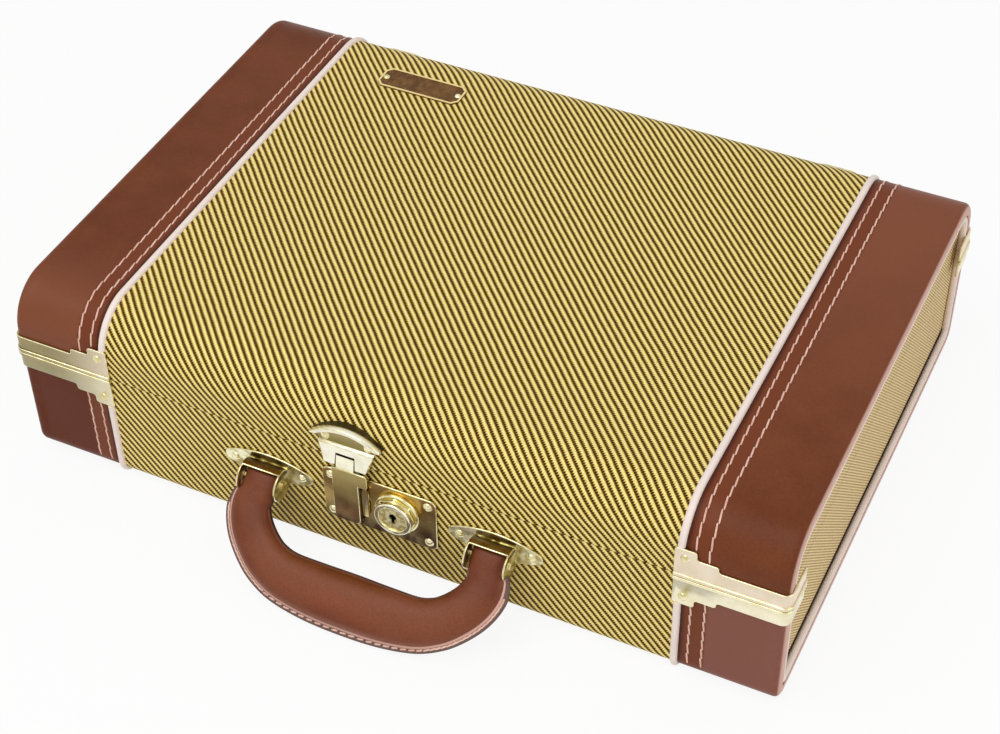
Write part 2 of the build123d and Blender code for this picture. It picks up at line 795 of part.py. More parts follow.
# Housing of the key lock, swaged into the plate
bore = plug / 2 + plug_fit
with BuildPart() as lock_housing:
    with BuildSketch(front_plane(lock_plate_sheet)):
        with Locations((lock_x, lock_z)):
            Circle(lock_collar / 2)
    extrude(amount=lock_collar_height)
    chamfer(lock_housing.faces().sort_by(Axis.Y)[0].edges(), lock_collar_height / 3)
    with BuildSketch(front_plane(lock_plate_sheet + lock_collar_height)):
        with Locations((lock_x, lock_z)):
            RegularPolygon(lock_body / 2, 8)
    extrude(amount=lock_body_height)
    with BuildSketch(front_plane(lock_plate_sheet + lock_collar_height + lock_body_height)):
        with Locations((lock_x, lock_z)):
            Circle(lock_ring / 2)
    extrude(amount=lock_ring_height)
    fillet(lock_housing.faces().sort_by(Axis.Y)[0].edges(), lock_ring_height / 3)
    with BuildSketch(front_plane(lock_plate_sheet)):
        with Locations((lock_x, lock_z)):
            Circle(lock_neck / 2)
    extrude(amount=-lock_plate_sheet - lock_body_height / 2)
    with BuildSketch(front_plane(-cover)):
        with Locations((lock_x, lock_z)):
            Circle(bore)
    extrude(amount=depth / 4, mode=Mode.SUBTRACT)
lock_housing.part.label = "lock_housing"
export_step(lock_housing.part, "parts/lock_housing.step")

# Plug that the key turns
lock_face = lock_plate_sheet + lock_collar_height + lock_body_height + lock_ring_height
plug_length = lock_face - plug_recess + cover
with BuildPart() as lock_plug:
    with BuildSketch(front_plane(-cover)):
        with Locations((lock_x, lock_z)):
            Circle(plug / 2)
    extrude(amount=plug_length)
    fillet(lock_plug.faces().sort_by(Axis.Y)[0].edges(), plug_recess / 2)
    with BuildSketch(front_plane(lock_face)):
        with Locations((lock_x, lock_z)):
            SlotOverall(keyhole_height, keyhole_width, rotation=90)
        with Locations((lock_x, lock_z + keyhole_height / 5)):
            Circle(keyhole_width)
    extrude(amount=-keyhole_depth, mode=Mode.SUBTRACT)
lock_plug.part.label = "lock_plug"
export_step(lock_plug.part, "parts/lock_plug.step")

# Cam on the inner end of the plug, with a crank pin for the yoke of the bolt
crank_x = lock_x + crank_radius * math.cos(math.radians(crank_start))
crank_z = lock_z + crank_radius * math.sin(math.radians(crank_start))
with BuildPart() as lock_cam:
    with BuildSketch(front_plane(-cover)):
        with Locations((lock_x, lock_z)):
            Circle(cam / 2)
    extrude(amount=-cam_sheet)
    with BuildSketch(front_plane(-cover - cam_sheet)):
        with Locations((crank_x, crank_z)):
            Circle(crank_pin / 2)
    extrude(amount=-crank_pin_length)
lock_cam.part.label = "lock_cam"
export_step(lock_cam.part, "parts/lock_cam.step")

# Bolt: a bar that slides up through the tab of the hasp, driven by a yoke behind the plate
bolt_neck = bolt_sheet + bolt_travel
yoke_face = -cover - cam_sheet - slide_gap
yoke_slot_height = crank_pin + slide_gap
yoke_slot_length = crank_radius + crank_pin + 2 * slide_gap
with BuildPart() as lock_bolt:
    with BuildSketch(front_plane(lock_plate_sheet + slide_gap)) as bar:
        with Locations((bolt_x, (bolt_low + bolt_high - bolt_neck) / 2)):
            Rectangle(bolt_width, bolt_high - bolt_low - bolt_neck)
        fillet(bar.vertices().group_by(Axis.Y)[0], bolt_round)
        with Locations((bolt_x, bolt_high - bolt_neck / 2)):
            Rectangle(bolt_neck_width, bolt_neck)
    extrude(amount=bolt_sheet)
    with BuildSketch(front_plane(lock_plate_sheet + slide_gap)):
        with Locations((bolt_x, bolt_high - bolt_neck / 2)):
            Rectangle(bolt_width, bolt_neck)
    extrude(amount=bolt_sheet / 2, mode=Mode.SUBTRACT)
    with BuildSketch(front_plane(lock_plate_sheet + slide_gap)):
        with Locations((bolt_x, bolt_stud_height)):
            Circle(bolt_stud / 2)
    extrude(amount=yoke_face - lock_plate_sheet - slide_gap)
    with BuildSketch(front_plane(yoke_face)):
        yoke_left = bolt_x - bolt_stud
        yoke_right = lock_x + crank_radius + crank_pin + yoke_end
        with Locations(((yoke_left + yoke_right) / 2, crank_z)):
            Rectangle(yoke_right - yoke_left, yoke_height)
        with Locations((lock_x + crank_radius * 0.85, crank_z)):
            Rectangle(yoke_slot_length, yoke_slot_height, mode=Mode.SUBTRACT)
    extrude(amount=-yoke_sheet)
lock_bolt.part.label = "lock_bolt"
export_step(lock_bolt.part, "parts/lock_bolt.step")

# Handle mounts: pointed plates, each with a hood and two cheeks for the handle pin
pin_front = front - mount_sheet - handle_pin_stand_off
cheek_inner_half = strap_width / 2 + strap_side_gap
with BuildPart() as handle_mounts:
    for mount_x in (-mount_spacing / 2, mount_spacing / 2):
        with BuildSketch(front_plane(0)) as plate:
            with BuildLine():
                ThreePointArc(
                    (mount_x - mount_length / 2, mount_height),
                    (mount_x, mount_height + mount_width / 2),
                    (mount_x + mount_length / 2, mount_height),
                )
                ThreePointArc(
                    (mount_x + mount_length / 2, mount_height),
                    (mount_x, mount_height - mount_width / 2),
                    (mount_x - mount_length / 2, mount_height),
                )
            make_face()
            fillet(plate.vertices(), mount_round)
        extrude(amount=mount_sheet)
        for offset in (-1, 1):
            cheek_x = mount_x + offset * (cheek_inner_half + cheek_sheet / 2)
            with BuildSketch(Plane.YZ.offset(cheek_x)):
                with Locations((pin_front, handle_pin_height)):
                    Circle(cheek_radius)
                with Locations((front - mount_sheet / 2 + cheek_radius, handle_pin_height)):
                    Rectangle(2 * cheek_radius, 4 * cheek_radius, mode=Mode.SUBTRACT)
            extrude(amount=cheek_sheet / 2, both=True)
        with BuildSketch(Plane.YZ.offset(mount_x)):
            hood_end = math.radians(hood_end_angle)
            far = 3 * cheek_radius
            with Locations((pin_front, handle_pin_height)):
                Circle(cheek_radius)
                Circle(cheek_radius - hood_sheet, mode=Mode.SUBTRACT)
            with BuildLine():
                Polyline(
                    (pin_front, handle_pin_height),
                    (pin_front - far * math.cos(hood_end), handle_pin_height + far * math.sin(hood_end)),
                    (pin_front - far * math.cos(hood_end), handle_pin_height + far),
                    (front - mount_sheet / 2, handle_pin_height + far),
                    (front - mount_sheet / 2, handle_pin_height),
                    close=True,
                )
            make_face(mode=Mode.INTERSECT)
        extrude(amount=cheek_inner_half + cheek_sheet / 2, both=True)
        with BuildSketch(Plane.YZ.offset(mount_x)):
            with Locations((pin_front, handle_pin_height)):
                Circle(handle_pin / 2)
        extrude(amount=mount_length / 2, both=True, mode=Mode.SUBTRACT)
    add(mount_holes, mode=Mode.SUBTRACT)
handle_mounts.part.label = "handle_mounts"
export_step(handle_mounts.part, "parts/handle_mounts.step")

# Pins of the handle, headed outside the cheeks
with BuildPart() as handle_pins:
    for side in (-1, 1):
        mount_x = side * mount_spacing / 2
        with BuildSketch(Plane.YZ.offset(mount_x)):
            with Locations((pin_front, handle_pin_height)):
                Circle(handle_pin / 2)
        extrude(amount=cheek_inner_half + cheek_sheet, both=True)
        for end in (-1, 1):
            with BuildSketch(Plane.YZ.offset(mount_x + end * (cheek_inner_half + cheek_sheet))):
                with Locations((pin_front, handle_pin_height)):
                    Circle(handle_pin_head / 2)
            extrude(amount=end * handle_pin_head_length)
handle_pins.part.label = "handle_pins"
export_step(handle_pins.part, "parts/handle_pins.step")

# Handle: its path lies in a plane through both pins that hangs down from the front
rest = math.radians(handle_rest_angle)
handle_plane = Plane(
    origin=(0, pin_front, handle_pin_height),
    x_dir=(1, 0, 0),
    z_dir=(0, -math.sin(rest), math.cos(rest)),
)
leg_x = mount_spacing / 2


def handle_path(start):
    """Middle line of the handle, from start beyond one pin round to the same place at the other."""
    with BuildLine(handle_plane) as path:
        FilletPolyline(
            (-leg_x, -start),
            (-leg_x, -grip_reach),
            (leg_x, -grip_reach),
            (leg_x, -start),
            radius=handle_bend_radius,
        )
    return path.wire()


def leg_path(side):
    """Middle line of one leg and its bend, from the pin to the start of the grip."""
    with BuildLine(handle_plane) as path:
        down = Line((side * leg_x, 0), (side * leg_x, handle_bend_radius - grip_reach))
        bend_centre = (side * (leg_x - handle_bend_radius), handle_bend_radius - grip_reach)
        angle = math.radians(-45)
        mid = (
            bend_centre[0] + side * handle_bend_radius * math.cos(angle),
            bend_centre[1] + handle_bend_radius * math.sin(angle),
        )
        ThreePointArc(down @ 1, mid, (bend_centre[0], -grip_reach))
    return path.wire()


core_path = handle_path(core_start)
with BuildPart() as handle_core:
    with BuildSketch(Plane(origin=core_path.position_at(0), x_dir=(1, 0, 0), z_dir=core_path.tangent_at(0))):
        Rectangle(core_width, core_thickness)
    sweep(path=core_path)
handle_core.part.label = "handle_core"
export_step(handle_core.part, "parts/handle_core.step")

# Padded leather of the handle: flat legs looped round the pins and a fuller grip between the bends
grip_half = leg_x - handle_bend_radius
grip_origin = handle_plane.from_local_coords((0, -grip_reach, 0))
strap_round = strap_thickness * 0.36
grip_round = grip_thickness * 0.42
with BuildPart() as handle_leather:
    for side in (-1, 1):
        leg = leg_path(side)
        with BuildSketch(Plane(origin=leg.position_at(0), x_dir=(1, 0, 0), z_dir=leg.tangent_at(0))):
            RectangleRounded(strap_width, strap_thickness, strap_round)
        sweep(path=leg)
        with BuildSketch(Plane.YZ.offset(side * leg_x)):
            with Locations((pin_front, handle_pin_height)):
                Circle(strap_thickness / 2)
        extrude(amount=strap_width / 2, both=True)
    grip_normal = handle_plane.z_dir
    for side in (-1, 1):
        for place, width, thickness, corner in (
            (grip_half, strap_width, strap_thickness, strap_round),
            (grip_half * 0.55, grip_width * 0.96, grip_thickness * 0.94, grip_round * 0.9),
            (0, grip_width, grip_thickness, grip_round),
        ):
            with BuildSketch(Plane(origin=grip_origin + (side * place, 0, 0), x_dir=grip_normal, z_dir=(side, 0, 0))):
                RectangleRounded(thickness, width, corner)
        loft()
    with BuildSketch(Plane(origin=core_path.position_at(0), x_dir=(1, 0, 0), z_dir=core_path.tangent_at(0))):
        Rectangle(core_width + 2 * fit, core_thickness + 2 * fit)
    sweep(path=core_path, mode=Mode.SUBTRACT)
    with BuildSketch(Plane.YZ):
        with Locations((pin_front, handle_pin_height)):
            Circle(handle_pin / 2 + fit)
    extrude(amount=mount_spacing, both=True, mode=Mode.SUBTRACT)
handle_leather.part.label = "handle_leather"
export_step(handle_leather.part, "parts/handle_leather.step")

# Bare name plate with a raised border
with BuildPart() as name_plate:
    with BuildSketch(Plane.XY.offset(height)) as plate:
        with Locations((name_plate_x, name_plate_y)):
            Rectangle(name_plate_length, name_plate_width)
        chamfer(plate.vertices(), name_plate_corner)
    extrude(amount=name_plate_sheet)
    with BuildSketch(Plane.XY.offset(height + name_plate_sheet)) as field:
        with Locations((name_plate_x, name_plate_y)):
            Rectangle(name_plate_length - 2 * name_plate_border, name_plate_width - 2 * name_plate_border)
        chamfer(field.vertices(), name_plate_corner - name_plate_border / 2)
    extrude(amount=-name_plate_field, mode=Mode.SUBTRACT)
    add(name_plate_holes, mode=Mode.SUBTRACT)
name_plate.part.label = "name_plate"
export_step(name_plate.part, "parts/name_plate.step")

# Rivets, one group for each fitting
for name, spots, plate in (
    ("lid_clamp_rivets", lid_clamp_spots, clamp_sheet),
    ("base_clamp_rivets", base_clamp_spots, clamp_sheet),
    ("lid_hinge_rivets", lid_hinge_spots, hinge_leaf),
    ("base_hinge_rivets", base_hinge_spots, hinge_leaf),
    ("catch_rivets", catch_spots, catch_plate),
    ("lock_plate_rivets", lock_spots, lock_plate_sheet),
    ("handle_mount_rivets", mount_spots, mount_sheet),
):
    group = rivets(spots, plate)
    group.label = name
    export_step(group, f"parts/{name}.step")
with BuildPart() as name_plate_rivets:
    plate_depth = small_rivet_length - fit
    tack = rivet_profile(small_rivet_head, small_rivet_dome, small_rivet_shank, plate_depth)
    for spot in name_plate_spots:
        lowered = Plane(origin=spot.origin - (0, 0, name_plate_field))
        add(lowered.location * tack)
name_plate_rivets.part.label = "name_plate_rivets"
export_step(name_plate_rivets.part, "parts/name_plate_rivets.step")

# Plush lining inside the lid and the base
inner_end = cavity_end - lining
for half, low, high in (("lid", lid_low, height), ("base", 0, base_high)):
    with BuildPart() as plush:
        with BuildSketch(Plane.YZ.offset(-cavity_end)):
            add(case_section(cover + wall, low, high))
        extrude(amount=2 * cavity_end)
        with BuildSketch(Plane.YZ.offset(-inner_end)):
            add(case_section(cover + wall + lining, low, high))
        extrude(amount=2 * inner_end, mode=Mode.SUBTRACT)
    plush.part.label = f"{half}_lining"
    export_step(plush.part, f"parts/{half}_lining.step")

# Tray in the base: a board, rails across it and dividers that leave two columns of slots and one compartment
floor = cover + wall + lining
board_top = floor + tray_board_height
inner_half_depth = depth / 2 - floor
side_ease = inner_radius(base_edge_radius, floor)
tray_half_depth = inner_half_depth - side_ease
with BuildPart() as tray_board:
    with BuildSketch(Plane.XY.offset(floor)):
        Rectangle(2 * inner_end, 2 * tray_half_depth)
    extrude(amount=tray_board_height)
tray_board.part.label = "tray_board"
export_step(tray_board.part, "parts/tray_board.step")

rail_starts = (
    -inner_end,
    -inner_end + rail_width + slot_length,
    -inner_end + 2 * (rail_width + slot_length),
    inner_end - rail_width,
)
with BuildPart() as tray_rails:
    with BuildSketch(Plane.XY.offset(board_top)):
        for start in rail_starts:
            with Locations((start + rail_width / 2, 0)):
                Rectangle(rail_width, 2 * tray_half_depth)
    extrude(amount=tray_height)
tray_rails.part.label = "tray_rails"
export_step(tray_rails.part, "parts/tray_rails.step")

divider = (2 * tray_half_depth - slot_rows * slot_width) / (slot_rows + 1)
divider_pitch = slot_width + divider
with BuildPart() as tray_dividers:
    with BuildSketch(Plane.XY.offset(board_top)):
        for start in rail_starts[:2]:
            for row in range(slot_rows + 1):
                divider_y = -tray_half_depth + divider / 2 + row * divider_pitch
                with Locations((start + rail_width + slot_length / 2, divider_y)):
                    Rectangle(slot_length, divider)
    extrude(amount=tray_height)
tray_dividers.part.label = "tray_dividers"
export_step(tray_dividers.part, "parts/tray_dividers.step")

# Soft pad under the lid that holds the contents down
lid_floor = height - floor
with BuildPart() as lid_pad:
    pad_half_depth = depth / 2 - lid_edge_radius - lid_pad_margin
    with BuildSketch(Plane.XY.offset(lid_floor)):
        RectangleRounded(2 * (inner_end - lid_pad_margin), 2 * pad_half_depth, lid_pad_margin)
    extrude(amount=-lid_pad_height)
    fillet(lid_pad.faces().sort_by(Axis.Z)[0].edges(), lid_pad_round)
lid_pad.part.label = "lid_pad"
export_step(lid_pad.part, "parts/lid_pad.step")
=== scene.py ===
"""A harmonica case: a plywood box in striped cloth with leather ends, brass fittings and a padded handle."""

import json
import math

import bmesh
import bpy
from mathutils import Euler, Matrix, Vector

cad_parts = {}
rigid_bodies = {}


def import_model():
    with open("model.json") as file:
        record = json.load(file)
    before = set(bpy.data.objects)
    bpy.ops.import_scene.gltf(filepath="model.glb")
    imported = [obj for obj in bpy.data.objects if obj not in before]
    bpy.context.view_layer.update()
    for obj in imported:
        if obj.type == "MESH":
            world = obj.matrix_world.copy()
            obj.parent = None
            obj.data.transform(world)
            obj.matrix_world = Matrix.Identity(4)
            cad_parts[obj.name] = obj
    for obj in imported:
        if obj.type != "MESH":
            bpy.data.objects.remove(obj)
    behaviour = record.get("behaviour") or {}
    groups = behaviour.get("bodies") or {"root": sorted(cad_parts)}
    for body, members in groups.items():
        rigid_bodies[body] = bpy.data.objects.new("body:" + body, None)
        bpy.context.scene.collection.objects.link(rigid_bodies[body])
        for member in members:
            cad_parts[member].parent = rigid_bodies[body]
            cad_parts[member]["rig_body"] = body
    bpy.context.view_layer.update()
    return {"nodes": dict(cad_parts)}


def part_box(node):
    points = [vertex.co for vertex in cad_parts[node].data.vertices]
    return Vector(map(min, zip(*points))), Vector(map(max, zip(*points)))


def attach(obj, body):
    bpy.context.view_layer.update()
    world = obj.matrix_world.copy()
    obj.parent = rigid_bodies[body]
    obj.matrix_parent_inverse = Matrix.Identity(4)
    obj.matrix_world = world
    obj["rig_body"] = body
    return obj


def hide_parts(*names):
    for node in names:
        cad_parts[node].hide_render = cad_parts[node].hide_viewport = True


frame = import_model()

# Camera: where the photograph was taken from, above the front right of the case and turned a few degrees
# about its own line of sight.
camera = bpy.data.objects.new("camera", bpy.data.cameras.new("camera"))
camera.data.sensor_width = 36
camera.data.lens = 74.66
camera_place = Vector((0.283218, -0.585282, 0.626009))
camera_turn = Euler([math.radians(angle) for angle in (46.6794, 0.6973, 25.4029)])
camera.matrix_world = Matrix.LocRotScale(camera_place, camera_turn, None)
bpy.context.scene.collection.objects.link(camera)
bpy.context.scene.camera = camera
bpy.context.scene.view_settings.view_transform = "Standard"


# Studio: a white floor and white surroundings, with one broad lamp above the front and a weaker one
# on the right. The floor shows the shadow of the case.
class Wire:
    """A socket in a node tree. An expression on wires adds the Math nodes for it."""

    def __init__(self, tree, socket=None):
        self.tree = tree
        self.socket = socket

    def node(self, kind, settings=None, sockets=None, output=0):
        """Adds a node: its settings first, then the values or links of its sockets."""
        node = self.tree.nodes.new("ShaderNode" + kind)
        for name, value in (settings or {}).items():
            if name == "stops":
                ramp = node.color_ramp.elements
                ramp.remove(ramp[1])
                ramp[0].position, ramp[0].color = value[0]
                for position, color in value[1:]:
                    ramp.new(position).color = color
            else:
                setattr(node, name, value)
        for name, value in (sockets or {}).items():
            if isinstance(value, Wire):
                self.tree.links.new(value.socket, node.inputs[name])
            else:
                node.inputs[name].default_value = value
        return Wire(self.tree, node.outputs[output] if node.outputs else None)

    def math(self, operation, *values):
        return self.node("Math", {"operation": operation}, dict(enumerate(values)))

    def __add__(self, other):
        return self.math("ADD", self, other)

    __radd__ = __add__

    def __mul__(self, other):
        return self.math("MULTIPLY", self, other)

    __rmul__ = __mul__

    def __sub__(self, other):
        return self.math("SUBTRACT", self, other)

    def __rsub__(self, other):
        return self.math("SUBTRACT", other, self)

    def __abs__(self):
        return self.math("ABSOLUTE", self)

    def rise(self, low, high):
        """From 0 at low to 1 at high, eased at both ends."""
        limits = {"Value": self, "From Min": low, "From Max": high}
        return self.node("MapRange", {"interpolation_type": "SMOOTHSTEP"}, limits)

    def mix(self, low, high):
        """A colour between low, at 0, and high, at 1."""
        return self.node("Mix", {"data_type": "RGBA"}, {0: self, 6: low, 7: high}, output=2)


def new_finish(name):
    """An empty material, and a wire that its nodes are added from."""
    finish = bpy.data.materials.new(name)
    finish.use_nodes = True
    finish.node_tree.nodes.clear()
    return finish, Wire(finish.node_tree)


def seen_directly(start):
    """1 where a ray comes from the camera, a mirror or clear glass, and 0 where it only brings light."""
    rays = ("Is Camera Ray", "Is Glossy Ray", "Is Transmission Ray")
    return start.math("MINIMUM", sum(start.node("LightPath", output=ray) for ray in rays), 1.0)


plain_level = 0.62
room = bpy.data.worlds.new("room")
room.use_nodes = True
room.node_tree.nodes.clear()
bpy.context.scene.world = room
start = Wire(room.node_tree)
level = seen_directly(start) * (1 - plain_level) + plain_level
light = start.node("Background", {}, {"Strength": level})
start.node("OutputWorld", {}, {"Surface": light})

floor_half = 3
floor_drop = Matrix.Translation((0, 0, -0.0004))
floor_glow = 0.9
floor_shape = bmesh.new()
bmesh.ops.create_grid(floor_shape, x_segments=1, y_segments=1, size=floor_half, matrix=floor_drop)
floor_mesh = bpy.data.meshes.new("floor")
floor_shape.to_mesh(floor_mesh)
floor_shape.free()
floor = bpy.data.objects.new("floor", floor_mesh)
bpy.context.scene.collection.objects.link(floor)
floor_finish, start = new_finish("white_floor")
paint = start.node("BsdfDiffuse", {}, {"Color": (0.9, 0.9, 0.9, 1)})
glow = start.node("Emission", {}, {"Color": (1, 1, 1, 1), "Strength": 1.0})
surface = start.node("MixShader", {}, {0: seen_directly(start) * floor_glow, 1: paint, 2: glow})
start.node("OutputMaterial", {}, {"Surface": surface})
floor_mesh.materials.append(floor_finish)

lamp_aim = Vector((0, 0, 0.04))
for name, place, size, power in (
    ("broad_lamp", (-0.35, -0.75, 1.5), 1.3, 13.0),
    ("side_lamp", (1.3, -0.4, 0.9), 0.9, 4.5),
):
    lamp = bpy.data.objects.new(name, bpy.data.lights.new(name, "AREA"))
    lamp.data.size = size
    lamp.data.energy = power
    lamp.location = place
    lamp.rotation_euler = (lamp_aim - Vector(place)).to_track_quat("-Z", "Y").to_euler()
    bpy.context.scene.collection.objects.link(lamp)


# Striped cloth: a lacquered diagonal weave of cream and olive threads, glued over the plywood. The
# stripes of the lid run on over its rounded edges, and those of the base are a strip of their own.
def box_mm(name):
    """Lowest and highest corner of a CAD piece at rest, in millimetres."""
    return [Vector([round(value * 1000, 3) for value in corner]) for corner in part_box(name)]


def shade(red, green, blue):
    """The colour that a screen shows as these three numbers from 0 to 255."""
    parts = (red, green, blue)
    linear = [part / 3294.6 if part < 10.3 else ((part / 255 + 0.055) / 1.055) ** 2.4 for part in parts]
    return (*linear, 1)


def place_mm(start):
    """Object coordinates in millimetres."""
    point = start.node("TexCoord", output="Object")
    return start.node("VectorMath", {"operation": "SCALE"}, {0: point, "Scale": 1000.0})


def split(point):
    """The three coordinates of a point."""
    return [point.node("SeparateXYZ", {}, {0: point}, output=axis) for axis in range(3)]


def noise(point, size, detail=2.0, roughness=0.5):
    """Soft noise whose blotches are about this many millimetres across."""
    sockets = {"Vector": point, "Scale": 1 / size, "Detail": detail, "Roughness": roughness}
    return point.node("TexNoise", {}, sockets)


def paint_surface(start, sockets, height, depth):
    """Ends a finish with its shader. Where height is 1, its relief rises by depth, in millimetres."""
    bump = start.node("Bump", {}, {"Height": height, "Distance": depth / 1000})
    shader = start.node("BsdfPrincipled", {}, {**sockets, "Normal": bump})
    start.node("OutputMaterial", {}, {"Surface": shader})


lid_low, lid_high = box_mm("lid_cloth")
lid_foot = lid_low.z
lid_top = lid_high.z
base_top = box_mm("base_cloth")[1].z
case_front = lid_high.y
edge_radius = 20.0
edge_start = lid_top - edge_radius
flat_half = case_front - edge_radius
thread_pitch = 1.0


def cloth_finish(name, stripe_pitch, lean, shift):
    """Striped cloth. Lean is the angle in degrees from the length of the case to the way across a stripe."""
    weave_x = math.cos(math.radians(lean))
    weave_over = math.sin(math.radians(lean))
    finish, start = new_finish(name)
    point = place_mm(start)
    x, y, z = split(point)
    over = start.math("MAXIMUM", abs(y) - flat_half, 0.0)
    up = start.math("MAXIMUM", z - edge_start, 0.0)
    run = start.math("MINIMUM", abs(y), flat_half) + start.math("ARCTAN2", over, up) * edge_radius
    run = (run + start.math("MAXIMUM", edge_start - z, 0.0)) * start.math("SIGN", y)
    wander = noise(point, 16.0) * 0.5 + noise(point, 3.0) * 0.3
    across = x * weave_x + run * weave_over + wander
    along = x * weave_over - run * weave_x
    thread = start.math("SINE", along * (math.tau / thread_pitch))
    wave = start.math("COSINE", (across + 0.12 * thread) * (math.tau / stripe_pitch) + shift)
    fibre = noise(point, 0.4, 3.0, 0.7)
    shallow = 0.5 - wave * 0.5
    level = 1.0 - shallow + (fibre - 0.5) * 0.4 + thread * (0.05 + shallow * 0.2)
    stops = (
        (0.0, shade(50, 32, 0)),
        (0.2, shade(86, 60, 0)),
        (0.42, shade(172, 132, 32)),
        (0.68, shade(250, 216, 118)),
        (1.0, shade(255, 246, 168)),
    )
    color = start.node("ValToRGB", {"stops": stops}, {0: level})
    speck = noise(point, 1.1, 2.0, 0.6).rise(0.66, 0.74)
    color = (speck * 0.5).mix(color, shade(60, 40, 4))
    paint_surface(
        start,
        {"Base Color": color, "Roughness": 0.62 - level * 0.12, "Specular IOR Level": 0.14},
        height=wave * 0.5 + thread * 0.3 + fibre * 0.3,
        depth=0.3,
    )
    return finish


nodes = frame["nodes"]


def dress(finish, *names):
    """Gives CAD pieces their finish."""
    for name in names:
        mesh = nodes[name].data
        mesh.materials.clear()
        mesh.materials.append(finish)


dress(cloth_finish("lid_striped_cloth", stripe_pitch=2.655, lean=43.5, shift=0.0), "lid_cloth")
base_cloth = cloth_finish("base_striped_cloth", stripe_pitch=2.82, lean=40.0, shift=2.2)
dress(base_cloth, "base_cloth", "bottom_cloth")


# End panels: a finer weave of the same threads, glued on inside the leather rims of both halves. Its
# stripes rise towards the front, and its foot is painted dark as a shadow under the piping.
def four_of(*kinds):
    """The names of these kinds of piece on the lid and the base, each at the left and the right."""
    sides = ("left", "right")
    return [f"{half}_{kind}_{side}" for half in ("lid", "base") for kind in kinds for side in sides]


panel_thread_pitch = 0.7
panel_stripe_pitch = 1.1
painted_shadow_foot = (8.6, 10.6)
panel_cloth, start = new_finish("end_panel_cloth")
point = place_mm(start)
x, y, z = split(point)
panel_across = (y + z) * math.sqrt(0.5)
panel_along = (y - z) * math.sqrt(0.5)
panel_thread = start.math("SINE", panel_along * (math.tau / panel_thread_pitch))
panel_wave = start.math("COSINE", (panel_across + 0.1 * panel_thread) * (math.tau / panel_stripe_pitch))
panel_fibre = noise(point, 0.4, 3.0, 0.7)
panel_level = panel_wave * 0.45 + 0.5 + (panel_fibre - 0.5) * 0.4
stops = ((0.0, shade(160, 126, 72)), (0.45, shade(218, 188, 128)), (1.0, shade(252, 228, 176)))
color = start.node("ValToRGB", {"stops": stops}, {0: panel_level})
# Painted shadow: the foot of the panel is painted dark, under the piping.
color = z.rise(*painted_shadow_foot).mix(shade(56, 30, 16), color)
paint_surface(
    start,
    {"Base Color": color, "Roughness": 0.6 + panel_fibre * 0.1, "Specular IOR Level": 0.25},
    height=panel_level,
    depth=0.15,
)
dress(panel_cloth, *four_of("end_cloth"))

# Leather ends: smooth brown leather glued round each end and rolled over the rim, where it wrinkles and
# its crest carries a painted pale highlight. It is darkest along the piping, and even where the stitches go
# through it.
leather_low, leather_high = box_mm("lid_leather_right")
band_edge = leather_low.x
case_end = leather_high.x
row_x = (128.5, 134.0)
row_dip_half = 0.75


def leather_base(start, point, main, pale):
    """Colour, height and roughness of smooth brown leather."""
    patch = noise(point, 26.0, 3.0, 0.55).rise(0.3, 0.7)
    pores = start.node("TexVoronoi", {"feature": "DISTANCE_TO_EDGE"}, {"Vector": point, "Scale": 1.5})
    grain = noise(point, 0.9, 4.0, 0.6)
    color = patch.mix(main, pale)
    color = (grain.rise(0.35, 0.75) * 0.25).mix(color, shade(70, 32, 18))
    height = pores.rise(0.0, 0.35) * 0.6 + grain * 0.5
    return color, height, patch * 0.08 + grain * 0.12 + 0.3


band_leather, start = new_finish("band_leather")
point = place_mm(start)
x, y, z = split(point)
span = abs(x)
color, height, rough = leather_base(start, point, shade(108, 54, 28), shade(120, 64, 36))
# Painted light and shade: paler towards the back on the right; on the front of the base, pinker on the right
# and darker on the left; and a painted highlight on the front corner of the lid on the left.
right_end = x.rise(-40, 40)
painted_light_back = y.rise(-110, 110) * right_end
color = (painted_light_back * 0.8).mix(color, shade(136, 80, 56))
low_front_painted_light = (1 - z.rise(54, 56)) * (1 - y.rise(-112, -108))
color = low_front_painted_light.mix(color, right_end.mix(shade(98, 40, 12), shade(136, 84, 70)))
painted_highlight_corner = (1 - y.rise(-104, -70)) * (1 - right_end) * z.rise(56, 60)
color = (painted_highlight_corner * 0.5).mix(color, shade(142, 86, 62))
color = span.rise(row_x[1] + 0.2, row_x[1] + 1.6).mix(shade(118, 60, 34), color)
color = span.rise(band_edge, row_x[0] - 1.0).mix(shade(70, 28, 14), color)
# Painted highlight: a pale pink line along the crest of the rim.
color = span.rise(case_end - 0.9, case_end - 0.1).mix(color, shade(214, 168, 150))
rim = span.rise(case_end - 7.5, case_end - 2.0)
wrinkle = noise(point, 5.5, 2.0, 0.4)
stitch_dip = sum(start.math("COMPARE", span, row, row_dip_half) for row in row_x)
paint_surface(
    start,
    {"Base Color": color, "Roughness": rough, "Specular IOR Level": 0.12},
    height=height * 0.12 + wrinkle * (rim * 2.6 + 0.2) - stitch_dip * 0.5 + noise(point, 60.0) * 3.0,
    depth=0.3,
)
dress(band_leather, *four_of("leather"))


# Stitches: two rows of pink-white thread round each leather end, every stitch set at a slant. They stop
# short of the corner clamps and of the bottom edge.
def finish_piece(shape, name, body, finish):
    """Makes a piece from a bmesh in millimetres, with its finish, and lets it ride on a body."""
    bmesh.ops.scale(shape, vec=(0.001, 0.001, 0.001), verts=shape.verts)
    mesh = bpy.data.meshes.new(name)
    shape.to_mesh(mesh)
    shape.free()
    mesh.materials.append(finish)
    piece = bpy.data.objects.new(name, mesh)
    bpy.context.scene.collection.objects.link(piece)
    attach(piece, body)
    return piece


def round_off(shape):
    """Shades every face of a shape as one soft surface."""
    for face in shape.faces:
        face.smooth = True


